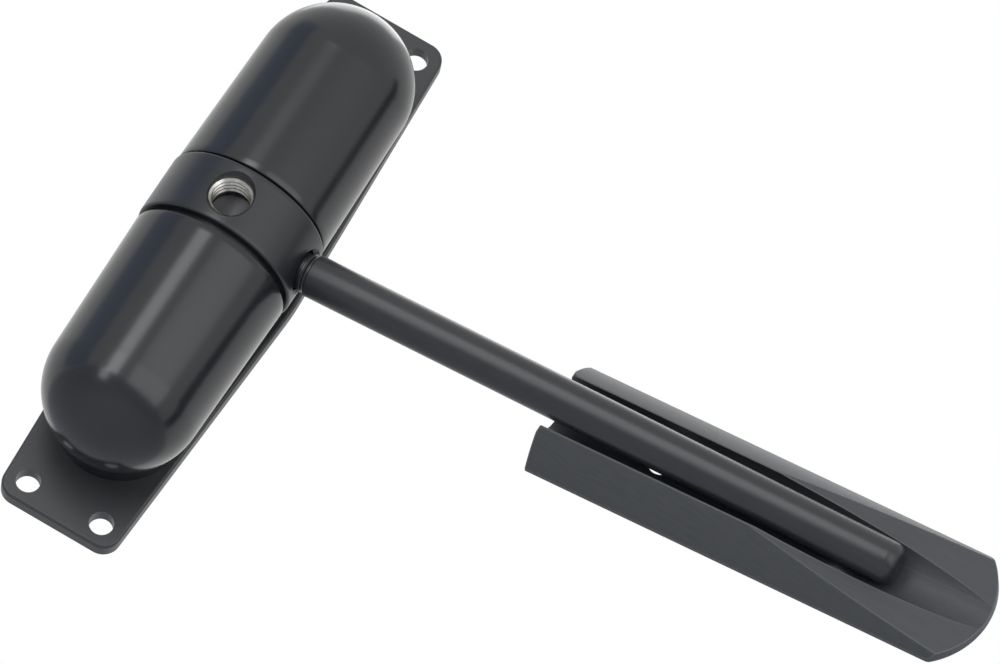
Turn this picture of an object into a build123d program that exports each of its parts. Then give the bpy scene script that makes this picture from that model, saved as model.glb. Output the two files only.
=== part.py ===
from build123d import *
import math
import os

# Spring door closer: a base plate for the door frame, a sprung cylinder with a threaded arm,
# and a grooved track for the door.
# Millimetres. +Z runs up along the spring cylinder, -Y points out of the door frame towards the user.
# The origin is the middle of the base plate's back face. +X points from the cylinder along the arm.

# Base plate
plate_length = 146.4
plate_middle_width = 36.6
plate_end_width = 29.5
plate_thickness = 3.8
plate_corner_radius = 4.2
plate_waist_radius = 60.0
plate_edge_round = 0.7
frame_hole_diameter = 5.6
frame_hole_end_margin = 5.3
frame_hole_side_margin = 5.3
window_clearance = 1.1
window_corner_radius = 2.0

# Spring cylinder
axis_height = 20.3
hub_diameter = 39.0
hub_length = 15.2
hub_edge_round = 0.6
hub_spigot_length = 1.8
hub_spigot_wall = 1.4
spigot_clearance = 0.6
cover_gap = 0.9

# Covers
cover_mouth_diameter = 38.4
cover_dome_diameter = 37.6
cover_reach = 62.9
cover_wall = 1.6
cover_skirt_mouth_half_width = 15.0
cover_skirt_dome_half_width = 14.6
cover_mouth_round = 0.4
cover_foot_clearance = 0.1
cover_boss_diameter = 13.0
cover_boss_length = 7.9
cover_boss_end_gap = 0.4

# Axle and its brackets
axle_diameter = 8.0
axle_end_inset = 6.4
axle_flat_depth = 0.7
axle_end_chamfer = 0.6
running_clearance = 0.04
bracket_inset = 20.8
bracket_thickness = 4.0
bracket_head_radius = 11.0
bracket_side_gap = 1.0
bracket_foot_rise = 4.0
tenon_width = 6.0
tenon_side_margin = 2.0
tenon_play = 0.1
tenon_corner_radius = 0.6
ring_outer_diameter = 12.4
ring_thickness = 1.0
ring_groove_depth = 0.5
ring_groove_play = 0.1
ring_gap_angle = 70.0

# Hub bore, bushes and arm holes
bush_outer_diameter = 11.0
bush_middle_gap = 0.6
bush_flange_diameter = 15.0
bush_flange_thickness = 1.0
spring_pocket_inner_radius = 9.6
spring_pocket_outer_radius = 15.0
spring_pocket_depth = 2.0
arm_hole_diameter = 8.9
arm_hole_depth = 9.6
arm_hole_point_depth = 1.4
arm_hole_point_diameter = 2.225
arm_hole_mouth_diameter = 11.4
arm_hole_mouth_depth = 0.9
front_hole_angle = 86.0
rear_hole_angle = 180.0

# Springs, collars and stop pins
spring_wire_diameter = 3.6
spring_mean_radius = 12.3
spring_coil_pitch = 3.826087
spring_start = 10.0
spring_end_gap = 2.0
spring_tang_gap = 0.5
spring_tang_grip = 3.6
collar_diameter = 29.0
collar_length = 7.8
collar_side_play = 0.3
collar_bar_holes = 8
collar_bar_hole_diameter = 4.2
collar_bar_hole_depth = 7.0
collar_edge_chamfer = 0.6
tang_hole_play = 0.3
stop_pin_diameter = 4.0
stop_pin_tip_radius = 16.8
stop_pin_rest_gap_angle = 1.0
spacer_outer_diameter = 12.0
spacer_play = 0.1

# Arm
arm_angle = 8.3
arm_diameter = 9.9
arm_reach = 170.0
arm_tip_round = 3.0
arm_shoulder_stand_off = 1.7
arm_shoulder_chamfer = 0.4
arm_stud_play = 0.1
arm_stud_end_gap = 0.4
arm_undercut_diameter = 7.8
arm_undercut_width = 0.7

# Track
track_angle = 11.6
track_base_width = 27.6
track_height = 11.4
track_edge_height = 4.1
track_crest_width = 14.9
track_groove_width = 12.6
track_floor = 1.7
track_near_length = 84.3
track_tip_centre = 8.3
track_tip_radius = 16.3
track_cut_start = -30.0
track_cut_end = 18.6
track_side_shift = 0.65
track_tip_gap = 0.55
track_hole_diameter = 4.2
track_hole_near = 58.5
track_hole_spacing = 46.0
track_cut_margin = 1.0

hub_radius = hub_diameter / 2
half_hub = hub_length / 2
plate_front = axis_height - plate_thickness
cover_mouth = half_hub + cover_gap
cover_dome_radius = cover_dome_diameter / 2
cover_mouth_radius = cover_mouth_diameter / 2
cover_dome_centre = cover_reach - cover_dome_radius
bracket_inner_face = cover_reach - bracket_inset
bracket_outer_face = bracket_inner_face + bracket_thickness
bracket_middle = bracket_inner_face + bracket_thickness / 2
bracket_foot_width = 2 * (cover_skirt_dome_half_width - cover_wall - bracket_side_gap)
tenon_spacing = bracket_foot_width - tenon_width - 2 * tenon_side_margin
axle_end = cover_reach - axle_end_inset
collar_outer_face = bracket_inner_face - collar_side_play
collar_inner_face = collar_outer_face - collar_length
collar_middle = (collar_inner_face + collar_outer_face) / 2
bore_radius = axle_diameter / 2 + running_clearance
spigot_radius = cover_mouth_radius - cover_wall - spigot_clearance
spigot_end = half_hub + hub_spigot_length
pocket_floor = half_hub - spring_pocket_depth
spring_end = collar_inner_face - spring_end_gap
bush_flange_face = half_hub + bush_flange_thickness


def on_axis(piece):
    """Carry a piece made about the Z axis to the spring cylinder's own axis."""
    return Pos(0, -axis_height, 0) * piece


def other_end(piece):
    """The same piece at the lower end of the cylinder."""
    return mirror(piece, about=Plane.XY)


def ring_solid(outer_radius, inner_radius, start, end):
    """A round tube about Z between two heights."""
    middle = (start + end) / 2
    tube = Cylinder(outer_radius, end - start) - Cylinder(inner_radius, end - start)
    return Pos(0, 0, middle) * tube


def turned_towards(angle, piece):
    """Turn a piece that points along +X so that it points out at an angle above the plate's plane."""
    return Rot(0, 0, -angle) * piece


def plate_outline():
    """Plate outline in X and Z: widest at the hub and narrower towards both ends."""
    half = plate_length / 2
    middle = plate_middle_width / 2
    end = plate_end_width / 2
    corners = [(-end, -half), (end, -half), (middle, 0), (end, half), (-end, half), (-middle, 0)]
    face = make_face(Polyline(*corners, close=True))
    waist = face.vertices().sort_by(lambda corner: abs(corner.Y))[:2]
    face = fillet(waist, plate_waist_radius)
    ends = face.vertices().sort_by(lambda corner: abs(corner.Y))[-4:]
    return fillet(ends, plate_corner_radius)


def frame_hole_places():
    """Middle of each screw hole for the door frame, in X and Z."""
    across = plate_end_width / 2 - frame_hole_side_margin
    along = plate_length / 2 - frame_hole_end_margin
    return [(x, z) for x in (-across, across) for z in (-along, along)]


def tenon_places():
    """Middle of each bracket tenon at the upper end, in X and Z."""
    return [(-tenon_spacing / 2, bracket_middle), (tenon_spacing / 2, bracket_middle)]


def tenon(x, z, play):
    """A bracket's tenon, as deep as the plate; play widens it into the slot's cutter."""
    section = RectangleRounded(tenon_width + 2 * play, bracket_thickness + 2 * play, tenon_corner_radius)
    return Pos(x, 0, z) * (Plane.XZ * extrude(section, amount=plate_thickness))


def frame_hole(x, z):
    """Cutter for one screw hole through the plate."""
    drill = Cylinder(frame_hole_diameter / 2, plate_thickness)
    return Pos(x, -plate_thickness / 2, z) * Rot(90, 0, 0) * drill


def base_plate():
    blank = Plane.XZ * extrude(plate_outline(), amount=plate_thickness)
    front_edges = blank.edges().group_by(Axis.Y)[0]
    plate = fillet(front_edges, plate_edge_round)
    chord = math.sqrt(hub_radius**2 - plate_front**2)
    window_width = 2 * (chord + window_clearance)
    window_length = 2 * (spigot_end + window_clearance / 2)
    window = RectangleRounded(window_width, window_length, window_corner_radius)
    plate -= Plane.XZ * extrude(window, amount=plate_thickness)
    for x, z in frame_hole_places():
        plate -= frame_hole(x, z)
    for x, z in tenon_places():
        for side in (1, -1):
            plate -= tenon(x, side * z, tenon_play)
    return plate


def axle():
    rod = Cylinder(axle_diameter / 2, 2 * axle_end)
    rod = chamfer(rod.edges(), axle_end_chamfer)
    groove_floor = axle_diameter / 2 - ring_groove_depth
    groove_start = bracket_outer_face + ring_groove_play
    groove_end = groove_start + ring_thickness + ring_groove_play
    groove = ring_solid(axle_diameter, groove_floor, groove_start, groove_end)
    flat = Box(axle_diameter, axle_flat_depth, bracket_thickness)
    flat = Pos(0, -axle_diameter / 2 + axle_flat_depth / 2, bracket_middle) * flat
    for cut in (groove, flat):
        rod -= cut
        rod -= other_end(cut)
    return on_axis(rod)


def bracket():
    """Upright bracket: a rounded head round the axle on a wide foot, with two tenons in the plate."""
    half_foot = bracket_foot_width / 2
    foot_y = plate_front
    shoulder_y = foot_y - bracket_foot_rise
    lean = math.asin(bracket_head_radius / math.hypot(half_foot, shoulder_y))
    lean -= math.atan2(half_foot, shoulder_y)
    head_x = bracket_head_radius * math.cos(lean)
    head_y = -bracket_head_radius * math.sin(lean)
    sides = Polyline((-half_foot, foot_y), (half_foot, foot_y), (half_foot, shoulder_y), (head_x, head_y),
                     (-head_x, head_y), (-half_foot, shoulder_y), close=True)
    upright = extrude(Circle(bracket_head_radius) + make_face(sides), amount=bracket_thickness)
    bore = Circle(bore_radius)
    key = Rectangle(2 * bore_radius, axle_flat_depth)
    bore -= Pos(0, -bore_radius + axle_flat_depth / 2, 0) * key
    upright -= extrude(bore, amount=bracket_thickness)
    body = on_axis(Pos(0, 0, bracket_inner_face) * upright)
    for x, z in tenon_places():
        body += tenon(x, z, 0)
    return body


def retaining_ring():
    """Open ring that snaps into the axle's groove outside the bracket."""
    start = bracket_outer_face + ring_groove_play * 1.5
    inner = axle_diameter / 2 - ring_groove_depth + ring_groove_play
    ring = ring_solid(ring_outer_diameter / 2, inner, start, start + ring_thickness)
    mouth_width = 2 * inner * math.sin(math.radians(ring_gap_angle / 2))
    mouth = Box(ring_outer_diameter, mouth_width, ring_thickness)
    ring -= Pos(ring_outer_diameter / 2, 0, start + ring_thickness / 2) * mouth
    return on_axis(ring)


def spacer_tube():
    """Tube on the axle that holds the hub in the middle and guides the spring."""
    tube = ring_solid(spacer_outer_diameter / 2, bore_radius, bush_flange_face + spacer_play,
                      collar_inner_face - spacer_play)
    return on_axis(tube)


def arm_hole():
    """Cutter for one arm hole along +X: countersunk mouth, straight wall and drilled point."""
    wall_start = hub_radius - arm_hole_depth
    wall = Pos(wall_start + arm_hole_depth / 2, 0, 0) * Rot(0, 90, 0) * Cylinder(
        arm_hole_diameter / 2, arm_hole_depth
    )
    point = Pos(wall_start - arm_hole_point_depth / 2, 0, 0) * Rot(0, -90, 0) * Cone(
        arm_hole_diameter / 2, arm_hole_point_diameter / 2, arm_hole_point_depth
    )
    mouth = Pos(hub_radius - arm_hole_mouth_depth / 2, 0, 0) * Rot(0, 90, 0) * Cone(
        arm_hole_diameter / 2, arm_hole_mouth_diameter / 2, arm_hole_mouth_depth
    )
    return wall + point + mouth


def hub():
    """Central drum that turns about the axle and takes the arm in any of its threaded holes."""
    drum = Cylinder(hub_radius, hub_length)
    drum = fillet(drum.edges(), hub_edge_round)
    spigot = ring_solid(spigot_radius, spigot_radius - hub_spigot_wall, pocket_floor, spigot_end)
    pocket = ring_solid(spring_pocket_outer_radius, spring_pocket_inner_radius, pocket_floor, half_hub)
    drum += spigot
    drum += other_end(spigot)
    drum -= pocket
    drum -= other_end(pocket)
    drum -= Cylinder(bush_outer_diameter / 2, hub_length)
    for step in (0, front_hole_angle, rear_hole_angle):
        drum -= turned_towards(arm_angle + step, arm_hole())
    return on_axis(drum)


def hub_bush():
    """Flanged bush pressed into one end of the hub's bore."""
    sleeve = ring_solid(bush_outer_diameter / 2, bore_radius, bush_middle_gap / 2, half_hub)
    flange = ring_solid(bush_flange_diameter / 2, bore_radius, half_hub, bush_flange_face)
    return on_axis(sleeve + flange)


def arm():
    """Round arm: stud in the hub, undercut, shoulder, long rod and rounded tip."""
    shoulder = hub_radius + arm_shoulder_stand_off
    radius = arm_diameter / 2
    stud_radius = arm_hole_diameter / 2 - arm_stud_play
    stud_start = hub_radius - arm_hole_depth + arm_stud_end_gap
    undercut_start = shoulder - arm_undercut_width
    undercut_radius = arm_undercut_diameter / 2
    tip_start = arm_reach - arm_tip_round
    flat_tip = radius - arm_tip_round
    edge = Polyline(
        (stud_start, 0),
        (stud_start, stud_radius),
        (undercut_start, stud_radius),
        (undercut_start, undercut_radius),
        (shoulder, undercut_radius),
        (shoulder, radius - arm_shoulder_chamfer),
        (shoulder + arm_shoulder_chamfer, radius),
        (tip_start, radius),
    )
    tip = RadiusArc((tip_start, radius), (arm_reach, flat_tip), arm_tip_round)
    end = Line((arm_reach, flat_tip), (arm_reach, 0))
    back = Line((arm_reach, 0), (stud_start, 0))
    rod = revolve(make_face(edge + tip + end + back), axis=Axis.X)
    return on_axis(turned_towards(arm_angle, rod))


def cover_shape(inset):
    """Solid form of a cover's wall at an inset: a round body, a dome and a straight skirt to the plate."""
    mouth_radius = cover_mouth_radius - inset
    dome_radius = cover_dome_radius - inset
    profile = (
        Line((0, cover_mouth), (mouth_radius, cover_mouth))
        + Line((mouth_radius, cover_mouth), (dome_radius, cover_dome_centre))
        + RadiusArc((dome_radius, cover_dome_centre), (0, cover_dome_centre + dome_radius), -dome_radius)
        + Line((0, cover_dome_centre + dome_radius), (0, cover_mouth))
    )
    body = revolve(Plane.XZ * make_face(profile), axis=Axis.Z)
    wide = cover_skirt_mouth_half_width - inset
    narrow = cover_skirt_dome_half_width - inset
    foot = (
        Line((-wide, cover_mouth), (wide, cover_mouth))
        + Line((wide, cover_mouth), (narrow, cover_dome_centre))
        + RadiusArc((narrow, cover_dome_centre), (-narrow, cover_dome_centre), -narrow)
        + Line((-narrow, cover_dome_centre), (-wide, cover_mouth))
    )
    skirt = extrude(Plane.XZ * make_face(foot), amount=-plate_front)
    return body + skirt


def cover():
    """Domed end cover, open at the hub and at the plate, with a boss that pushes on to the axle."""
    shell = cover_shape(0)
    mouth_edge = shell.edges().filter_by(GeomType.CIRCLE).sort_by(Axis.Z)[0]
    shell = fillet(mouth_edge, cover_mouth_round)
    shell -= cover_shape(cover_wall)
    boss_end = cover_reach - cover_wall - cover_boss_end_gap
    boss = ring_solid(cover_boss_diameter / 2, bore_radius, boss_end - cover_boss_length, boss_end)
    boss += Pos(0, 0, cover_reach - 2 * cover_wall) * Cylinder(cover_boss_diameter / 2, cover_wall)
    shell += boss & cover_shape(cover_wall / 2)
    below_plate = plate_front - cover_foot_clearance
    keep = Pos(0, below_plate - axis_height, cover_reach) * Box(
        2 * cover_mouth_diameter, 2 * axis_height, 2 * cover_reach
    )
    return on_axis(shell & keep)


def stop_pin_angle():
    """Angle of the stop pin round the axis, just clear of the plate that stops it."""
    half = stop_pin_diameter / 2
    reach = math.hypot(stop_pin_tip_radius, half)
    turn = math.degrees(math.acos(plate_front / reach) + math.atan2(half, stop_pin_tip_radius))
    return 90 + turn + stop_pin_rest_gap_angle


def bar_hole_angles():
    """Angles of the collar's bar holes; the stop pin sits in the first."""
    return [stop_pin_angle() + 360 / collar_bar_holes * step for step in range(collar_bar_holes)]


def tang_angle():
    """Angle at which the spring's tang enters the collar, half way between two bar holes."""
    return stop_pin_angle() + 180 / collar_bar_holes


def collar():
    """Tension collar: turned with a bar in its side holes to wind the spring."""
    body = ring_solid(collar_diameter / 2, bore_radius, collar_inner_face, collar_outer_face)
    circles = body.edges().filter_by(GeomType.CIRCLE)
    rims = circles.filter_by(lambda rim: abs(rim.radius - collar_diameter / 2) < 0.01)
    body = chamfer(rims, collar_edge_chamfer)
    centre = collar_diameter / 2 - collar_bar_hole_depth / 2
    hole = Pos(centre, 0, collar_middle) * Rot(0, 90, 0) * Cylinder(
        collar_bar_hole_diameter / 2, collar_bar_hole_depth
    )
    for angle in bar_hole_angles():
        body -= Rot(0, 0, angle) * hole
    tang_hole_radius = spring_wire_diameter / 2 + tang_hole_play / 2
    tang_hole = Cylinder(tang_hole_radius, 2 * (spring_tang_grip + tang_hole_play))
    body -= Rot(0, 0, tang_angle()) * Pos(spring_mean_radius, 0, collar_inner_face) * tang_hole
    return on_axis(body)


def spring():
    """Torsion spring with a straight tang at each end, one in the hub's pocket and one in the collar."""
    height = spring_end - spring_start
    wire = spring_wire_diameter / 2
    start_angle = tang_angle() - 360 * height / spring_coil_pitch
    path = Helix(spring_coil_pitch, height, spring_mean_radius)
    section = Plane(origin=path @ 0, z_dir=path % 0) * Circle(wire)
    coil = Pos(0, 0, spring_start) * sweep(section, path=path, is_frenet=True)
    coil = Rot(0, 0, start_angle) * coil
    inner_tang = tang_solid(start_angle, pocket_floor + spring_tang_gap, spring_start)
    outer_tang = tang_solid(tang_angle(), spring_end, collar_inner_face + spring_tang_grip)
    return on_axis(coil + inner_tang + outer_tang)


def tang_solid(angle, start, end):
    """Straight end of the spring wire, with a rounded corner where it leaves the coil."""
    wire = spring_wire_diameter / 2
    rod = Pos(spring_mean_radius, 0, (start + end) / 2) * Cylinder(wire, end - start)
    corner_height = spring_start if start < spring_start else spring_end
    corner = Pos(spring_mean_radius, 0, corner_height) * Sphere(wire)
    return Rot(0, 0, angle) * (rod + corner)


def stop_pin():
    """Pin left in a bar hole; it bears on the base plate and holds the collar against the spring."""
    start = collar_diameter / 2 - collar_bar_hole_depth + running_clearance
    length = stop_pin_tip_radius - start
    pin = Cylinder(stop_pin_diameter / 2, length)
    pin = Pos(start + length / 2, 0, collar_middle) * Rot(0, 90, 0) * pin
    return on_axis(Rot(0, 0, stop_pin_angle()) * pin)


def track_section():
    """Cross-section with a wide foot, sloping sides, narrow crests and a round-bottomed groove."""
    foot = track_base_width / 2
    crest = track_crest_width / 2
    groove = track_groove_width / 2
    round_centre = track_floor + groove
    outline = (
        Polyline((-groove, track_height), (-crest, track_height), (-foot, track_edge_height), (-foot, 0),
                 (foot, 0), (foot, track_edge_height), (crest, track_height), (groove, track_height),
                 (groove, round_centre))
        + RadiusArc((groove, round_centre), (-groove, round_centre), groove)
        + Line((-groove, round_centre), (-groove, track_height))
    )
    return make_face(outline)


def track_body():
    """Track in its own frame: X along it, Y across it, Z out of its back; X is 0 at the arm's tip."""
    tip_reach = track_tip_centre + track_tip_radius
    bar = extrude(Plane.YZ * track_section(), amount=track_near_length + tip_reach)
    bar = Pos(-track_near_length, 0, 0) * bar
    half = track_base_width / 2
    tip_start = track_tip_centre + math.sqrt(track_tip_radius**2 - half**2)
    plan = (
        Polyline((tip_start, half), (-track_near_length, half), (-track_near_length, -half),
                 (tip_start, -half))
        + RadiusArc((tip_start, -half), (tip_start, half), -track_tip_radius)
    )
    bar &= extrude(make_face(plan), amount=track_height)
    slope = (track_height - track_edge_height) / (track_cut_end - track_cut_start)
    far_end = tip_reach + track_cut_margin
    far_height = track_height - slope * (far_end - track_cut_start)
    above = track_height + track_cut_margin
    waste = Polyline((track_cut_start, track_height), (far_end, far_height), (far_end, above),
                     (track_cut_start, above), close=True)
    bar -= extrude(Plane.XZ * make_face(waste), amount=half + track_cut_margin, both=True)
    for place in (-track_hole_near, -track_hole_near + track_hole_spacing):
        bar -= Pos(place, 0, 0) * Cylinder(track_hole_diameter / 2, track_height)
    return bar


def track_location():
    """Track placed so that the arm's tip lies in the groove, just clear of its floor and side."""
    arm_turn = math.radians(arm_angle)
    track_turn = math.radians(track_angle)
    tip = arm_reach - arm_tip_round
    drop = track_floor + arm_diameter / 2 + track_tip_gap
    x = tip * math.cos(arm_turn) + drop * math.sin(track_turn)
    y = -axis_height - tip * math.sin(arm_turn) + drop * math.cos(track_turn)
    return Pos(x, y, -track_side_shift) * Rot(0, 0, -track_angle) * Rot(90, 0, 0)


def track():
    return track_location() * track_body()


def write(name, shape):
    """Write one sub-part to its own file."""
    export_step(shape.solid(), f"parts/{name}.step")


os.makedirs("parts", exist_ok=True)
write("base_plate", base_plate())
write("axle", axle())
write("hub", hub())
write("arm", arm())
write("track", track())
end_pieces = {
    "bracket": bracket(),
    "retaining_ring": retaining_ring(),
    "spacer_tube": spacer_tube(),
    "hub_bush": hub_bush(),
    "tension_collar": collar(),
    "torsion_spring": spring(),
    "stop_pin": stop_pin(),
    "cover": cover(),
}
for name, piece in end_pieces.items():
    write(f"upper_{name}", piece)
    write(f"lower_{name}", other_end(piece))
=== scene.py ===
import bmesh
import bpy
import math
from mathutils import Matrix, Vector


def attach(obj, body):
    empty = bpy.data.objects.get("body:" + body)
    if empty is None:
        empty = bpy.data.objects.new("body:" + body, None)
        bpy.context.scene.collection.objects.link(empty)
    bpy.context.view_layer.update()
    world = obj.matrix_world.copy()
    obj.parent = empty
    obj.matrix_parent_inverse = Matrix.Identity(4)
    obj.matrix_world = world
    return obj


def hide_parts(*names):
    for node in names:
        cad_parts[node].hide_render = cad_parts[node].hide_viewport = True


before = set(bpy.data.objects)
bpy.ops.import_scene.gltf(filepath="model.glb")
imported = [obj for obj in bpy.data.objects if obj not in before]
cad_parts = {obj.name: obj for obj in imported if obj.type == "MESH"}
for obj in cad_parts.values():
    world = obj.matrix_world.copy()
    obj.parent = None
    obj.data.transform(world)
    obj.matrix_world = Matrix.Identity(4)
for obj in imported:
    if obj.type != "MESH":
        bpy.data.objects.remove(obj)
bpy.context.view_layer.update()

# Sizes in millimetres. +Z runs up along the spring cylinder, -Y points out of the door frame.
# The track, the hub's height and the covers' taper and wall follow the photo more closely than the solids do.
AXIS_HEIGHT = 20.3
PLATE_FRONT = 16.5
HUB_RADIUS = 19.5
HALF_HUB = 7.6
ARM_ANGLE = 8.3
HUB_RISE = 0.5
TRACK_ANGLE = 10.9
MM = 0.001


def millimetres(x, y, z):
    """A place in the row's frame, given in millimetres."""
    return Vector((x, y, z)) * MM


def outward(angle):
    """Direction square to the cylinder's axis, at an angle above the base plate's plane."""
    return Vector((math.cos(math.radians(angle)), -math.sin(math.radians(angle)), 0))


def arc(centre, radius, start, end, steps):
    """Points of an arc in a profile, from one angle to another in degrees."""
    turns = [math.radians(start + (end - start) * i / steps) for i in range(steps + 1)]
    return [(centre[0] + radius * math.cos(t), centre[1] + radius * math.sin(t)) for t in turns]


# Shader maths as Python expressions

class Value:
    """A shader socket on which maths is written as plain expressions."""

    def __init__(self, finish, socket):
        self.finish = finish
        self.socket = socket

    def maths(self, operation, first, second):
        return self.finish.node("ShaderNodeMath", {"operation": operation}, {0: first, 1: second})

    def __add__(self, other):
        return self.maths("ADD", self, other)

    def __radd__(self, other):
        return self.maths("ADD", other, self)

    def __rsub__(self, other):
        return self.maths("SUBTRACT", other, self)

    def __mul__(self, other):
        return self.maths("MULTIPLY", self, other)

    def over(self, edge, width):
        """0 below an edge and 1 above it, with a soft step of a given width."""
        values = {"Value": self, "From Min": edge - width / 2, "From Max": edge + width / 2}
        return self.finish.node("ShaderNodeMapRange", {"interpolation_type": "SMOOTHSTEP"}, values)


class Finish:
    """A material of the closer, built node by node around one Principled shader."""

    def __init__(self, name):
        self.material = bpy.data.materials.new(name)
        self.material.use_nodes = True
        self.tree = self.material.node_tree
        self.shader = self.tree.nodes["Principled BSDF"]

    def node(self, kind, settings=None, values=None, output=0):
        """Add a node with its settings and input values, and give back one of its outputs."""
        made = self.tree.nodes.new(kind)
        for key, value in (settings or {}).items():
            setattr(made, key, value)
        for key, value in (values or {}).items():
            self.put(made.inputs[key], value)
        return Value(self, made.outputs[output])

    def put(self, socket, value):
        """Set an input to a number or colour, or link a shader value to it."""
        if isinstance(value, Value):
            self.tree.links.new(value.socket, socket)
        else:
            socket.default_value = value

    def place(self):
        """The point on the object that is shaded, in its own metres."""
        return self.node("ShaderNodeTexCoord", output=3)

    def noise(self, scale, detail, roughness, stretch=None):
        """Noise from 0 to 1 over the object; stretch scales it along each axis."""
        where = self.place()
        if stretch:
            where = self.node("ShaderNodeMapping", {}, {"Vector": where, "Scale": stretch})
        values = {"Vector": where, "Scale": scale, "Detail": detail, "Roughness": roughness}
        return self.node("ShaderNodeTexNoise", {}, values)

    def blend(self, factor, first, second):
        """A colour between two others."""
        return self.node("ShaderNodeMix", {"data_type": "RGBA"}, {0: factor, 6: first, 7: second}, output=2)

    def bump(self, height, distance, strength):
        values = {"Height": height, "Distance": distance, "Strength": strength}
        return self.node("ShaderNodeBump", {}, values)

    def edge(self, spread, gain=6.0):
        """Close to 1 within a spread of sharp edges and 0 on flats."""
        rounded = self.node("ShaderNodeBevel", {"samples": 4}, {"Radius": spread})
        plain = self.node("ShaderNodeNewGeometry", output=1)
        product = {"operation": "DOT_PRODUCT"}
        agreement = self.node("ShaderNodeVectorMath", product, {0: rounded, 1: plain}, output=1)
        clamped = {"operation": "MULTIPLY", "use_clamp": True}
        return self.node("ShaderNodeMath", clamped, {0: 1.0 - agreement, 1: gain})

    def surface(self, **values):
        """Set the shader's inputs by name, and give back the finished material."""
        for key, value in values.items():
            self.put(self.shader.inputs[key.replace("_", " ").title().replace("Ior", "IOR")], value)
        return self.material


def grey(tone, blue):
    """Neutral colour of a tone, with its blue a given number of times its red."""
    return (tone, tone * (1 + (blue - 1) * 0.4), tone * blue, 1)


def cover_lacquer():
    """Semi-gloss black lacquer on the pressed covers, with faint orange peel."""
    finish = Finish("cover_lacquer")
    peel = finish.noise(420.0, 2.0, 0.5)
    cloud = finish.noise(38.0, 3.0, 0.6)
    colour = finish.blend(cloud.over(0.5, 0.5), grey(0.0078, 1.5), grey(0.0108, 1.4))
    return finish.surface(base_color=colour, roughness=0.17 + cloud * 0.07, specular_ior_level=0.5,
                          normal=finish.bump(peel, 0.00001, 0.6))


def hub_paint():
    """Satin black paint on the hub."""
    finish = Finish("hub_paint")
    grain = finish.noise(2600.0, 2.0, 0.6)
    cloud = finish.noise(60.0, 3.0, 0.6)
    colour = finish.blend(cloud.over(0.5, 0.5), grey(0.0085, 1.5), grey(0.0118, 1.4))
    return finish.surface(base_color=colour, roughness=0.26 + cloud * 0.08 + grain * 0.04,
                          normal=finish.bump(grain, 0.000004, 0.6))


def arm_paint():
    """Satin black paint on the arm, drawn slightly along its length."""
    finish = Finish("arm_paint")
    grain = finish.noise(3000.0, 2.0, 0.6)
    draw = finish.noise(900.0, 2.0, 0.5, stretch=(0.06, 1.0, 1.0))
    colour = finish.blend(draw.over(0.5, 0.6), grey(0.0125, 1.4), grey(0.017, 1.3))
    return finish.surface(base_color=colour, roughness=0.3 + draw * 0.06 + grain * 0.04,
                          normal=finish.bump(grain, 0.000004, 0.7))


def plate_paint():
    """Fine-grained satin black paint on the base plate."""
    finish = Finish("plate_paint")
    grain = finish.noise(1500.0, 3.0, 0.6)
    cloud = finish.noise(45.0, 3.0, 0.6)
    colour = finish.blend(cloud.over(0.5, 0.5), grey(0.021, 1.2), grey(0.028, 1.16))
    return finish.surface(base_color=colour, roughness=0.34 + grain * 0.12 + cloud * 0.05,
                          normal=finish.bump(grain, 0.000012, 0.7))


def track_anodising():
    """Matte black finish on the extruded track, with fine draw lines along it and a painted highlight that
    makes its sharp edges paler.
    """
    finish = Finish("track_anodising")
    grain = finish.noise(2400.0, 3.0, 0.65)
    lines = finish.noise(1800.0, 2.0, 0.5, stretch=(0.03, 1.0, 1.0))
    flat = finish.blend(lines.over(0.5, 0.7), grey(0.034, 1.2), grey(0.045, 1.16))
    # Painted highlight: the colour turns pale grey within a spread of the sharp edges.
    colour = finish.blend(finish.edge(0.0006), flat, grey(0.13, 1.1))
    return finish.surface(base_color=colour, roughness=0.46 + grain * 0.12 + lines * 0.06,
                          normal=finish.bump(grain + lines * 0.5, 0.00001, 0.8))


def bare_thread():
    """Bright cut thread, a little oily in the roots."""
    finish = Finish("bare_thread")
    tarnish = finish.noise(700.0, 4.0, 0.6)
    clean, dull = (0.56, 0.55, 0.52, 1), (0.34, 0.33, 0.31, 1)
    colour = finish.blend(tarnish.over(0.55, 0.4), clean, dull)
    return finish.surface(base_color=colour, metallic=1.0, roughness=0.22 + tarnish * 0.15,
                          normal=finish.bump(tarnish, 0.00001, 0.5))


def shaded_hole_bottom():
    """Steel at the bottom of a blind hole, its colour darkened as painted shade, with a random swirl."""
    finish = Finish("shaded_hole_bottom")
    swirl = finish.noise(500.0, 3.0, 0.6)
    # Painted shade: the floor's colour is kept far darker than the thread's bare steel.
    colour = finish.blend(swirl, (0.035, 0.035, 0.037, 1), (0.09, 0.09, 0.095, 1))
    return finish.surface(base_color=colour, metallic=0.8, roughness=0.3 + swirl * 0.2)


def turned_steel(name, dark, light, roughness):
    """Bare or plated steel with fine turning rings and a slight stain."""
    finish = Finish(name)
    rings = finish.noise(1400.0, 2.0, 0.5, stretch=(0.2, 0.2, 1.0))
    stain = finish.noise(90.0, 4.0, 0.6)
    colour = finish.blend(stain.over(0.5, 0.5), dark, light)
    return finish.surface(base_color=colour, metallic=1.0, roughness=roughness + rings * 0.12,
                          normal=finish.bump(rings, 0.000006, 0.6))


def bearing_bronze():
    """Sintered bronze with darker pores."""
    finish = Finish("bearing_bronze")
    pores = finish.noise(1600.0, 4.0, 0.7)
    bright, pore = (0.44, 0.27, 0.12, 1), (0.2, 0.12, 0.06, 1)
    colour = finish.blend(pores.over(0.55, 0.3), bright, pore)
    return finish.surface(base_color=colour, metallic=1.0, roughness=0.38 + pores * 0.15,
                          normal=finish.bump(pores, 0.00002, 0.6))


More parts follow.
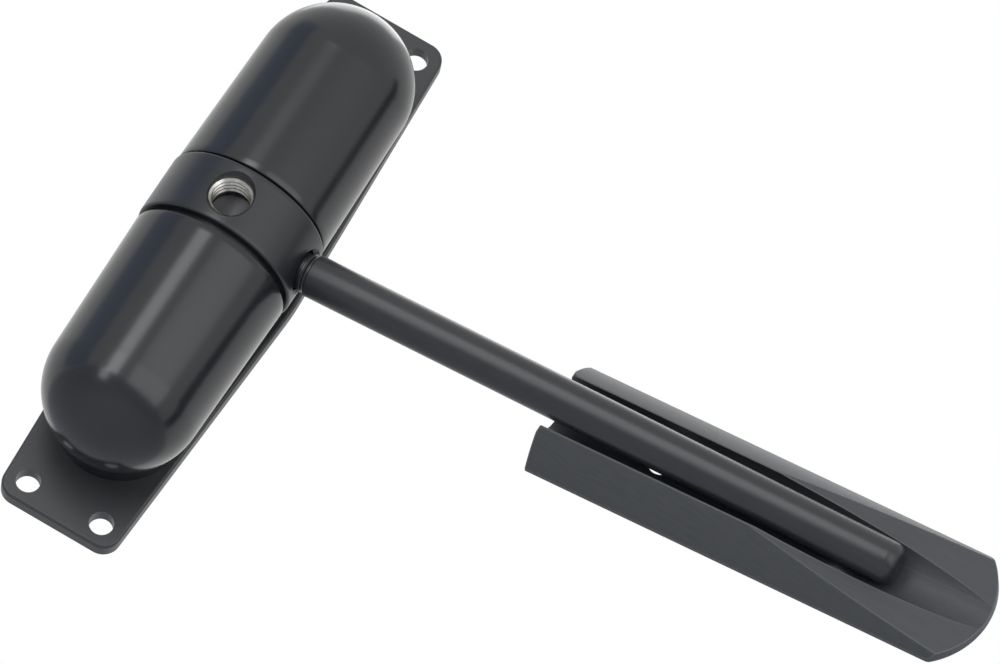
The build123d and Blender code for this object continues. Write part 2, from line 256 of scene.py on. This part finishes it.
LACQUER = cover_lacquer()
HUB_PAINT = hub_paint()
ARM_PAINT = arm_paint()
PLATE_PAINT = plate_paint()
TRACK_FINISH = track_anodising()
THREAD_STEEL = bare_thread()
SHADED_HOLE_BOTTOM = shaded_hole_bottom()
AXLE_STEEL = turned_steel("axle_steel", (0.42, 0.42, 0.42, 1), (0.56, 0.56, 0.56, 1), 0.2)
ZINC = turned_steel("zinc_plate", (0.5, 0.5, 0.53, 1), (0.62, 0.62, 0.64, 1), 0.3)
SPRING_STEEL = turned_steel("spring_steel", (0.1, 0.1, 0.105, 1), (0.17, 0.17, 0.175, 1), 0.32)
BRONZE = bearing_bronze()


# Pieces built in mesh code

def new_object(name, shape):
    """Link a new object made of a bmesh in metres, and free the bmesh."""
    mesh = bpy.data.meshes.new(name)
    shape.to_mesh(mesh)
    shape.free()
    made = bpy.data.objects.new(name, mesh)
    bpy.context.scene.collection.objects.link(made)
    return made


def piece(name, shape, body, finish, nodes=(), smooth=35):
    """Turn a bmesh into a piece of the closer that rides on a body, smooth below an angle in degrees."""
    bmesh.ops.recalc_face_normals(shape, faces=shape.faces)
    made = new_object(name, shape)
    made.data.materials.append(finish)
    made.data.shade_smooth()
    made.data.set_sharp_from_angle(angle=math.radians(smooth))
    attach(made, body)
    if nodes:
        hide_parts(*nodes)
    return made


def add_grid(shape, rows, closed=False):
    """Faces between rows of points, given back as vertices; closed joins each row's end to its start."""
    made = [[shape.verts.new(p) for p in row] for row in rows]
    for low, high in zip(made, made[1:]):
        count = len(low)
        for i in range(count if closed else count - 1):
            j = (i + 1) % count
            shape.faces.new((low[i], low[j], high[j], high[i]))
    return made


def add_turned(shape, profile, direction, start, steps):
    """A closed profile of (radius, distance) turned about a line through start."""
    side = direction.orthogonal().normalized()
    other = direction.cross(side)
    rows = []
    for radius, along in profile:
        turns = [2 * math.pi * i / steps for i in range(steps)]
        rows.append([start + (direction * along + (side * math.cos(t) + other * math.sin(t)) * radius) * MM
                     for t in turns])
    add_grid(shape, rows, closed=True)


def weld(shape):
    """Join points closer than 0.002 mm and drop the faces that close up."""
    bmesh.ops.remove_doubles(shape, verts=shape.verts, dist=0.000002)
    bmesh.ops.dissolve_degenerate(shape, edges=shape.edges, dist=0.0000005)


AXIS = millimetres(0, -AXIS_HEIGHT, 0)
HUB_MIDDLE = millimetres(0, -AXIS_HEIGHT, HUB_RISE)
UP = Vector((0, 0, 1))

COVER_MOUTH = 8.5
COVER_MOUTH_RADIUS = 19.15
COVER_DOME_RADIUS = 18.45
COVER_DOME_CENTRE = 44.45
COVER_WALL = 1.2
# Rolled lip at the mouth: distance along the cover, and how far inside the full size.
COVER_LIP = ((0.0, 0.4), (0.05, 0.22), (0.18, 0.07), (0.4, 0.0))
COVER_BODY_STEPS = 24
SKIRT_MOUTH = 15.0
SKIRT_DOME = 14.6
COVER_FOOT = PLATE_FRONT - 0.1
COVER_FOOT_BAND = 1.2
COVER_CREASE = 1.2
COVER_CREASE_LEAN = 2.2
RIB_STEPS = 60
DOME_STEPS = 72
# Boss inside the dome that centres the cover on the axle's end
BOSS_BORE = 4.04
BOSS_RADIUS = 6.5
BOSS_CHAMFER = 0.2
BOSS_MOUTH = 53.2
BOSS_FLOOR = 60.5
BOSS_END = 61.4


def cover_rib(radius, skirt):
    """Half section of a cover from its foot to its front: straight skirt, soft crease, then the round body."""
    crease = math.sqrt(radius**2 - skirt**2)
    lean = math.atan2(crease, skirt)
    points = [(skirt, COVER_FOOT), (skirt, COVER_FOOT - COVER_FOOT_BAND), (skirt, crease + COVER_CREASE * 1.6)]
    points += [(skirt, crease + COVER_CREASE * 0.8), (skirt + 0.05, crease + COVER_CREASE * 0.3)]
    first = lean - math.radians(COVER_CREASE_LEAN)
    for i in range(RIB_STEPS + 1):
        turn = first + (-math.pi / 2 - first) * i / RIB_STEPS
        points.append((radius * math.cos(turn), radius * math.sin(turn)))
    return points


def cover_rows(inset, flip):
    """Rows of points over a cover's tapered body, outside with no inset or inside with the wall as inset."""
    rows = []
    heights = [(COVER_MOUTH + rise, lip) for rise, lip in COVER_LIP]
    start = heights[-1][0]
    heights += [(start + (COVER_DOME_CENTRE - start) * i / COVER_BODY_STEPS, 0.0)
                for i in range(1, COVER_BODY_STEPS + 1)]
    for height, lip in heights:
        share = (height - COVER_MOUTH) / (COVER_DOME_CENTRE - COVER_MOUTH)
        back = inset if inset else lip
        radius = COVER_MOUTH_RADIUS + (COVER_DOME_RADIUS - COVER_MOUTH_RADIUS) * share - back
        skirt = SKIRT_MOUTH + (SKIRT_DOME - SKIRT_MOUTH) * share - back
        rib = cover_rib(radius, skirt)
        left = [(-x, y) for x, y in reversed(rib[:-1])]
        rows.append([AXIS + millimetres(x, y, flip * height) for x, y in rib + left])
    return rows


def dome_rows(inset, flip):
    """Ribs of the domed end, fanned about the dome's centre from one side to the other."""
    rib = cover_rib(COVER_DOME_RADIUS - inset, SKIRT_DOME - inset)
    rows = []
    for i in range(DOME_STEPS + 1):
        turn = math.pi * i / DOME_STEPS
        across, along = math.cos(turn), math.sin(turn)
        rows.append([AXIS + millimetres(x * across, y, flip * (COVER_DOME_CENTRE + x * along))
                     for x, y in rib])
    return rows


def build_cover(end, flip):
    """One domed cover: outer and inner skins joined at the mouth and the foot, with the boss inside."""
    shape = bmesh.new()
    skins = []
    for inset in (0.0, COVER_WALL):
        body = add_grid(shape, cover_rows(inset, flip))
        dome = add_grid(shape, dome_rows(inset, flip))
        skins.append((body, dome))
    (outer_body, outer_dome), (inner_body, inner_dome) = skins
    rims = [(outer_body[0], inner_body[0])]
    for side in (0, -1):
        rims.append(([row[side] for row in outer_body], [row[side] for row in inner_body]))
    rims.append(([row[0] for row in outer_dome], [row[0] for row in inner_dome]))
    for outer, inner in rims:
        for i in range(len(outer) - 1):
            shape.faces.new((outer[i], outer[i + 1], inner[i + 1], inner[i]))
    weld(shape)
    boss = [(BOSS_BORE, BOSS_MOUTH), (BOSS_RADIUS - BOSS_CHAMFER, BOSS_MOUTH),
            (BOSS_RADIUS, BOSS_MOUTH + BOSS_CHAMFER), (BOSS_RADIUS, BOSS_END), (0.0, BOSS_END),
            (0.0, BOSS_FLOOR), (BOSS_BORE, BOSS_FLOOR), (BOSS_BORE, BOSS_MOUTH)]
    add_turned(shape, boss, UP * flip, AXIS, steps=48)
    weld(shape)
    piece(f"{end}_domed_cover", shape, f"{end}_cover", LACQUER, [f"{end}_cover"], smooth=40)


def cutter(profile, direction, start):
    """A closed turned solid that is taken away from another piece."""
    shape = bmesh.new()
    add_turned(shape, profile, direction, start, steps=96)
    weld(shape)
    bmesh.ops.recalc_face_normals(shape, faces=shape.faces)
    return new_object("cutter", shape)


def carve(target, tools, operation="DIFFERENCE"):
    """Take cutters away from a piece, or keep what is inside them, and delete the cutters."""
    for tool in tools:
        change = target.modifiers.new("carve", "BOOLEAN")
        change.operation = operation
        change.solver = "EXACT"
        change.object = tool
        graph = bpy.context.evaluated_depsgraph_get()
        carved = bpy.data.meshes.new_from_object(target.evaluated_get(graph))
        target.modifiers.clear()
        target.data = carved
        bpy.data.objects.remove(tool)


HUB_SMOOTH = 32
HUB_BORE = 5.5
HUB_RIM_ROUND = 0.6
# Pocket in each end face for the spring's inner end
POCKET_INNER = 9.6
POCKET_OUTER = 15.0
POCKET_DEPTH = 2
# Ring on each end face on which the cover is centred
SPIGOT_INNER = 15.95
SPIGOT_OUTER = 17.35
SPIGOT_HEIGHT = 1.8
SPIGOT_CHAMFER = 0.2
# The arm's own hole, then the front and rear empty ones
HOLE_ANGLES = [ARM_ANGLE, ARM_ANGLE + 86.0, ARM_ANGLE + 180.0]
HOLE_FLOOR = HUB_RADIUS - 10.3
THREAD_ROOT = 5.0
# Countersunk mouth of a hole: radius, and distance beyond the drum's surface.
HOLE_MOUTH = ((0.0, 2.0), (6.1, 2.0), (5.95, 0.25), (5.75, -0.1), (5.5, -0.45), (THREAD_ROOT, -1.1))
HOLE_FLOOR_CONE = ((1.1, -1.2), (0.0, -1.25))


def build_hub():
    """Drum with rounded rims, spigots, spring pockets, its bore and three countersunk blind holes."""
    spigot_top = HALF_HUB + SPIGOT_HEIGHT
    spigot_edge = spigot_top - SPIGOT_CHAMFER
    rim = HALF_HUB - HUB_RIM_ROUND
    half = [(HUB_BORE, 0.0), (HUB_BORE, HALF_HUB)]
    half += [(POCKET_INNER, HALF_HUB), (POCKET_INNER, HALF_HUB - POCKET_DEPTH),
             (POCKET_OUTER, HALF_HUB - POCKET_DEPTH), (POCKET_OUTER, HALF_HUB)]
    half += [(SPIGOT_INNER, HALF_HUB), (SPIGOT_INNER, spigot_edge), (SPIGOT_INNER + SPIGOT_CHAMFER, spigot_top),
             (SPIGOT_OUTER - SPIGOT_CHAMFER, spigot_top), (SPIGOT_OUTER, spigot_edge), (SPIGOT_OUTER, HALF_HUB)]
    half += arc((HUB_RADIUS - HUB_RIM_ROUND, rim), HUB_RIM_ROUND, 90, 0, 5)
    half += [(HUB_RADIUS, rim * i / 10) for i in range(9, -1, -1)]
    lower = [(r, -z) for r, z in reversed(half)]
    shape = bmesh.new()
    add_turned(shape, half + lower[1:], UP, HUB_MIDDLE, steps=288)
    weld(shape)
    hub = piece("hub_drum", shape, "hub_and_arm", HUB_PAINT, ["hub"], smooth=HUB_SMOOTH)
    hole = [(radius, HUB_RADIUS + beyond) for radius, beyond in HOLE_MOUTH]
    hole += [(THREAD_ROOT, HOLE_FLOOR)] + [(radius, HOLE_FLOOR + beyond) for radius, beyond in HOLE_FLOOR_CONE]
    carve(hub, [cutter(hole, outward(angle), HUB_MIDDLE) for angle in HOLE_ANGLES])
    hub.data.materials.clear()
    for finish in (HUB_PAINT, THREAD_STEEL, SHADED_HOLE_BOTTOM):
        hub.data.materials.append(finish)
    # Hole walls get the bare thread finish, and faces at a hole's floor get the finish darkened as painted
    # shade.
    for face in hub.data.polygons:
        middle = face.center - HUB_MIDDLE
        face.material_index = 0
        for angle in HOLE_ANGLES:
            along = middle.dot(outward(angle)) / MM
            off = (middle - outward(angle) * along * MM).length / MM
            if off < THREAD_ROOT + 0.2 and HOLE_FLOOR - 2 < along < HUB_RADIUS - 1.0:
                face.material_index = 2 if along < HOLE_FLOOR + 0.05 else 1
    hub.data.shade_smooth()
    hub.data.set_sharp_from_angle(angle=math.radians(HUB_SMOOTH))


THREAD_PITCH = 1.5
THREAD_FLOOR_GAP = 1.9
THREAD_MOUTH_GAP = 1.6
THREAD_STEPS = 72
THREAD_FADE_STEPS = 30
# Section of the ridge: rise from the root, and place along the hole.
THREAD_TOOTH = ((0.06, -0.66), (-0.1, -0.52), (-0.6, -0.2), (-0.68, -0.1), (-0.7, 0.0), (-0.68, 0.1),
                (-0.6, 0.2), (-0.1, 0.52), (0.06, 0.66))


def build_thread(number, angle):
    """Cut thread in an empty arm hole: a ridge that winds from near the floor to the mouth."""
    direction = outward(angle)
    side = direction.orthogonal().normalized()
    other = direction.cross(side)
    start, end = HOLE_FLOOR + THREAD_FLOOR_GAP, HUB_RADIUS - THREAD_MOUTH_GAP
    turns = (end - start) / THREAD_PITCH
    count = int(turns * THREAD_STEPS)
    rows = []
    for i in range(count + 1):
        turn = 2 * math.pi * i / THREAD_STEPS
        fade = max(min(1.0, i / THREAD_FADE_STEPS, (count - i) / THREAD_FADE_STEPS), 0.03)
        outwards = side * math.cos(turn) + other * math.sin(turn)
        along = start + THREAD_PITCH * i / THREAD_STEPS
        rows.append([HUB_MIDDLE + (direction * (along + lift) + outwards * (THREAD_ROOT + rise * fade)) * MM
                     for rise, lift in THREAD_TOOTH])
    shape = bmesh.new()
    add_grid(shape, rows, closed=True)
    piece(f"arm_hole_thread_{number}", shape, "hub_and_arm", THREAD_STEEL, smooth=60)


ARM_RADIUS = 4.947
ARM_REACH = 170.0
ARM_SHOULDER = 21.2
ARM_SHOULDER_ROUND = 0.4
ARM_TIP_ROUND = 3.0
ARM_ROD_STEPS = 12
# Profiles of the arm's root: radius, and distance from the cylinder's axis.
ARM_STUD = ((0.0, 9.6), (3.9, 9.6), (4.2, 9.9), (4.2, 19.3))
ARM_COLLAR = ((4.35, 19.5), (4.35, 19.9), (4.55, 20.0), (4.62, 20.15), (4.55, 20.3), (4.2, 20.4))
ARM_UNDERCUT = ((3.95, 20.5), (3.9, 20.7), (3.9, 21.0), (4.0, 21.15), (4.4, ARM_SHOULDER))


def build_arm():
    """Turned arm: stud, rolled collar ring, undercut, shoulder, long rod and rounded tip."""
    rod_start, rod_end = ARM_SHOULDER + ARM_SHOULDER_ROUND, ARM_REACH - ARM_TIP_ROUND
    profile = [*ARM_STUD, *ARM_COLLAR, *ARM_UNDERCUT]
    profile += arc((ARM_RADIUS - ARM_SHOULDER_ROUND, rod_start), ARM_SHOULDER_ROUND, -80, 0, 5)
    profile += [(ARM_RADIUS, rod_start + (rod_end - rod_start) * i / ARM_ROD_STEPS)
                for i in range(1, ARM_ROD_STEPS)]
    profile += arc((ARM_RADIUS - ARM_TIP_ROUND, rod_end), ARM_TIP_ROUND, 0, 90, 14)
    profile.append((0.0, ARM_REACH))
    shape = bmesh.new()
    add_turned(shape, profile, outward(ARM_ANGLE), HUB_MIDDLE, steps=128)
    weld(shape)
    piece("round_arm", shape, "hub_and_arm", ARM_PAINT, ["arm"], smooth=30)


TRACK_NEAR = 84.7
TRACK_HALF_FOOT = 14.5
TRACK_HALF_CREST = 7.43
TRACK_HALF_GROOVE = 7.03
TRACK_HEIGHT = 9.3
TRACK_EDGE = 1.1
TRACK_SIDE_BULGE = 0.45
TRACK_FLOOR = 1.65
TRACK_END_ROUND = 1.3
TRACK_TIP_REACH = 23.78
TRACK_TIP_RADIUS = 18.6
TRACK_TIP_CORNER = 2.0
TRACK_TIP_HEIGHT = 2.3
TRACK_CUT_START = -31.6
TRACK_SETBACK = 2.15
TRACK_SIDE_SHIFT = 0.14
TRACK_TIP_GAP = 0.4
TRACK_LIP_ROUND = 0.2
TRACK_HOLE_RADIUS = 2.6
TRACK_HOLE_PLACES = (-58.5, -12.5)
TRACK_HOLE_STEPS = 48
TRACK_EDGE_ROUND = 0.36


def track_place():
    """Matrix from the track's own frame (X along, Y across, Z out of its back) to the row's frame."""
    tip = ARM_REACH - TRACK_SETBACK
    drop = TRACK_FLOOR + ARM_RADIUS + TRACK_TIP_GAP
    arm_turn, track_turn = math.radians(ARM_ANGLE), math.radians(TRACK_ANGLE)
    x = tip * math.cos(arm_turn) + drop * math.sin(track_turn)
    y = -AXIS_HEIGHT - tip * math.sin(arm_turn) + drop * math.cos(track_turn)
    place = Matrix.Translation(millimetres(x, y, HUB_RISE + TRACK_SIDE_SHIFT))
    return place @ Matrix.Rotation(-track_turn, 4, "Z") @ Matrix.Rotation(math.pi / 2, 4, "X")


def track_side():
    """Bulged side of the track's section, from the crest down to the foot edge."""
    start, end = Vector((TRACK_HALF_CREST, TRACK_HEIGHT)), Vector((TRACK_HALF_FOOT, TRACK_EDGE))
    chord = end - start
    normal = Vector((-chord.y, chord.x)).normalized()
    steps = 12
    shares = [i / steps for i in range(steps + 1)]
    return [tuple(start + chord * share + normal * TRACK_SIDE_BULGE * 4 * share * (1 - share))
            for share in shares]


def track_tip():
    """Plan of the round tip with its soft corners, from one side of the track to the other."""
    centre = TRACK_TIP_REACH - TRACK_TIP_RADIUS
    small = TRACK_TIP_CORNER
    off = TRACK_HALF_FOOT - small
    along = centre + math.sqrt((TRACK_TIP_RADIUS - small) ** 2 - off**2)
    lean = math.degrees(math.atan2(off, along - centre))
    points = arc((along, -off), small, -90, -lean, 8)
    points += arc((centre, 0), TRACK_TIP_RADIUS, -lean, lean, 48)[1:-1]
    return points + arc((along, off), small, lean, 90, 8)


def prism(outline, start, end, lay):
    """Closed prism over an outline; lay turns an outline point and a height into a place in millimetres."""
    shape = bmesh.new()
    rows = [[millimetres(*lay(a, b, height)) for a, b in outline] for height in (start, end)]
    made = add_grid(shape, rows, closed=True)
    for row in made:
        shape.faces.new(row)
    bmesh.ops.recalc_face_normals(shape, faces=shape.faces)
    return new_object("prism", shape)


def along_track(a, b, height):
    """Lays an outline across the track, for a prism that runs along it."""
    return height, a, b


def across_track(a, b, height):
    """Lays an outline along the track and up, for a prism that runs across it."""
    return a, height, b


def above_track(a, b, height):
    """Lays an outline in the track's plan, for a prism that stands on it."""
    return a, b, height


def build_track():
    """Extruded track with a round-bottomed groove, cut down towards its round tip."""
    groove = arc((0, TRACK_FLOOR + TRACK_HALF_GROOVE), TRACK_HALF_GROOVE, 0, -180, 48)
    lip = [(TRACK_HALF_CREST - 0.1, TRACK_HEIGHT), (TRACK_HALF_GROOVE + 0.1, TRACK_HEIGHT),
           (TRACK_HALF_GROOVE, TRACK_HEIGHT - TRACK_LIP_ROUND)]
    side = track_side()
    left = [(-a, b) for a, b in side]
    section = [(-a, b) for a, b in reversed(lip)] + left + [(-TRACK_HALF_FOOT, 0), (TRACK_HALF_FOOT, 0)]
    section += list(reversed(side)) + lip + groove
    bar = prism(section, -TRACK_NEAR, TRACK_TIP_REACH + 2, along_track)
    tip = track_tip()
    wide = TRACK_HALF_FOOT + 1
    near = -TRACK_NEAR - 1
    plan = [(near, wide), (near, -wide), (tip[0][0], -wide)] + tip + [(tip[-1][0], wide)]
    carve(bar, [prism(plan, -1, TRACK_HEIGHT + 1, above_track)], "INTERSECT")
    slope = (TRACK_HEIGHT - TRACK_TIP_HEIGHT) / (TRACK_TIP_REACH - TRACK_CUT_START)
    far = TRACK_TIP_REACH + 5
    waste = [(TRACK_CUT_START, TRACK_HEIGHT), (far, TRACK_HEIGHT - slope * (far - TRACK_CUT_START)),
             (far, TRACK_HEIGHT + 2), (TRACK_CUT_START, TRACK_HEIGHT + 2)]
    tools = [prism(waste, -wide, wide, across_track)]
    round_along, round_up = -TRACK_NEAR + TRACK_END_ROUND, TRACK_HEIGHT - TRACK_END_ROUND
    corner = [(near, TRACK_HEIGHT + 1), (near, round_up)]
    corner += arc((round_along, round_up), TRACK_END_ROUND, 180, 90, 8)
    corner += [(round_along, TRACK_HEIGHT + 1)]
    tools.append(prism(corner, -wide, wide, across_track))
    last_turn = 360 - 360 / TRACK_HOLE_STEPS
    for place in TRACK_HOLE_PLACES:
        ring = arc((place, 0), TRACK_HOLE_RADIUS, 0, last_turn, TRACK_HOLE_STEPS - 1)
        tools.append(prism(ring, -1, 6, above_track))
    carve(bar, tools)
    mesh = bar.data
    mesh.transform(track_place())
    shape = bmesh.new()
    shape.from_mesh(mesh)
    bpy.data.objects.remove(bar)
    weld(shape)
    track = piece("grooved_track", shape, "track", TRACK_FINISH, ["track"], smooth=30)
    bevel = track.modifiers.new("soft_edges", "BEVEL")
    bevel.width = TRACK_EDGE_ROUND * MM
    bevel.segments = 3
    bevel.limit_method = "ANGLE"
    bevel.angle_limit = math.radians(28)
    bevel.harden_normals = True


for cover_end, cover_flip in (("upper", 1), ("lower", -1)):
    build_cover(cover_end, cover_flip)
build_hub()
for hole_number, hole_angle in enumerate(HOLE_ANGLES[1:], 1):
    build_thread(hole_number, hole_angle)
build_arm()
build_track()

# The solids that stay as they are get their own finishes
NODE_FINISHES = {"base_plate": PLATE_PAINT, "axle": AXLE_STEEL}
for end_name in ("upper", "lower"):
    NODE_FINISHES[f"{end_name}_bracket"] = ZINC
    NODE_FINISHES[f"{end_name}_spacer_tube"] = AXLE_STEEL
    NODE_FINISHES[f"{end_name}_retaining_ring"] = SPRING_STEEL
    NODE_FINISHES[f"{end_name}_hub_bush"] = BRONZE
    NODE_FINISHES[f"{end_name}_tension_collar"] = ZINC
    NODE_FINISHES[f"{end_name}_torsion_spring"] = SPRING_STEEL
    NODE_FINISHES[f"{end_name}_stop_pin"] = AXLE_STEEL
for node_name, node_finish in NODE_FINISHES.items():
    for material_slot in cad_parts[node_name].material_slots:
        material_slot.material = node_finish


# Floor, light and camera

FLOOR_HEIGHT = -1.35
FLOOR_HALF = 6.0


def studio_floor():
    """Plain pale floor well below the object."""
    finish = Finish("studio_floor")
    speck = finish.noise(6.0, 3.0, 0.5)
    colour = finish.blend(speck.over(0.5, 0.5), (0.84, 0.84, 0.84, 1), (0.87, 0.87, 0.87, 1))
    shape = bmesh.new()
    places = (-FLOOR_HALF, 0, FLOOR_HALF)
    add_grid(shape, [[Vector((x, y, FLOOR_HEIGHT)) for x in places] for y in places])
    made = new_object("studio_floor", shape)
    made.data.materials.append(finish.surface(base_color=colour, roughness=0.9))


def studio_world():
    """White surroundings for the camera and for reflections, and a softer level for the light they give."""
    world = bpy.data.worlds.new("studio")
    bpy.context.scene.world = world
    world.use_nodes = True
    tree = world.node_tree
    tree.nodes.clear()
    path = tree.nodes.new("ShaderNodeLightPath")
    seen = tree.nodes.new("ShaderNodeMath")
    seen.operation = "MAXIMUM"
    tree.links.new(path.outputs["Is Camera Ray"], seen.inputs[0])
    tree.links.new(path.outputs["Is Glossy Ray"], seen.inputs[1])
    shown = tree.nodes.new("ShaderNodeMath")
    shown.operation = "MAXIMUM"
    tree.links.new(seen.outputs[0], shown.inputs[0])
    tree.links.new(path.outputs["Is Transmission Ray"], shown.inputs[1])
    soft = tree.nodes.new("ShaderNodeBackground")
    soft.inputs["Color"].default_value = (0.72, 0.75, 0.8, 1)
    soft.inputs["Strength"].default_value = 0.8
    white = tree.nodes.new("ShaderNodeBackground")
    white.inputs["Color"].default_value = (1, 1, 1, 1)
    white.inputs["Strength"].default_value = 1.0
    mix = tree.nodes.new("ShaderNodeMixShader")
    output = tree.nodes.new("ShaderNodeOutputWorld")
    tree.links.new(shown.outputs[0], mix.inputs[0])
    tree.links.new(soft.outputs[0], mix.inputs[1])
    tree.links.new(white.outputs[0], mix.inputs[2])
    tree.links.new(mix.outputs[0], output.inputs["Surface"])


def studio_lamp(name, azimuth, elevation, distance, size, power):
    """Soft rectangular lamp aimed at the object; azimuth 0 is in front of it and 90 is towards +X."""
    turn, rise = math.radians(azimuth), math.radians(elevation)
    towards = Vector((math.sin(turn) * math.cos(rise), -math.cos(turn) * math.cos(rise), math.sin(rise)))
    lamp = bpy.data.lights.new(name, "AREA")
    lamp.shape = "RECTANGLE"
    lamp.size, lamp.size_y = size
    lamp.energy = power
    made = bpy.data.objects.new(name, lamp)
    made.location = towards * distance
    made.rotation_euler = towards.to_track_quat("Z", "Y").to_euler()
    bpy.context.scene.collection.objects.link(made)


def studio_flag(name, azimuth, distance, width, low, high, glow):
    """Upright card dimmer than the white surroundings; the covers reflect it as a darker stripe."""
    turn = math.radians(azimuth)
    towards = Vector((math.sin(turn), -math.cos(turn), 0)) * distance
    side = Vector((math.cos(turn), math.sin(turn), 0))
    shape = bmesh.new()
    add_grid(shape, [[towards + side * across + UP * height for across in (-width / 2, width / 2)]
                     for height in (low, high)])
    made = new_object(name, shape)
    finish = Finish(name + "_cloth")
    weave = finish.noise(300.0, 2.0, 0.5)
    cloth = finish.blend(weave, grey(0.02, 1.0), grey(0.03, 1.0))
    made.data.materials.append(finish.surface(base_color=cloth, roughness=0.9, emission_color=glow,
                                              emission_strength=1.0))
    made.visible_camera = False


# The camera fitted to the photo's outlines: its place in metres, and its own axes in the row's frame.
CAMERA_PLACE = Vector((0.44243, -2.41222, -1.06216))
CAMERA_RIGHT = Vector((0.8572, -0.09151, 0.50679))
CAMERA_UP = Vector((-0.4946, -0.42042, 0.76067))
CAMERA_BACK = Vector((0.14345, -0.9027, -0.40564))
CAMERA_LENS = 432
CAMERA_SENSOR = 36


def photograph_camera():
    """The camera that shows the closer as the photo does."""
    camera = bpy.data.cameras.new("photograph_camera")
    camera.sensor_width = CAMERA_SENSOR
    camera.lens = CAMERA_LENS
    camera.clip_end = 50
    made = bpy.data.objects.new("photograph_camera", camera)
    turn = Matrix((CAMERA_RIGHT, CAMERA_UP, CAMERA_BACK)).transposed().to_4x4()
    made.matrix_world = Matrix.Translation(CAMERA_PLACE) @ turn
    bpy.context.scene.collection.objects.link(made)
    bpy.context.scene.camera = made


studio_floor()
studio_world()
studio_flag("right_flag", 93, 1.3, 0.3, -0.3, 1.1, (0.02, 0.02, 0.025, 1))
studio_flag("left_flag", -76, 1.4, 0.95, -0.3, 1.2, (0.46, 0.52, 0.68, 1))
studio_lamp("key_strip", -19, 5.5, 1.6, (0.48, 1.02), 5.8)
studio_lamp("low_soft", -27, -17, 1.7, (0.36, 0.42), 1.5)
studio_lamp("front_fill", 33, 4, 2.2, (2.3, 1.5), 14.0)
studio_lamp("back_top", -160, 54, 2.2, (1.3, 1.2), 8.0)
photograph_camera()
bpy.context.scene.view_settings.view_transform = "Standard"
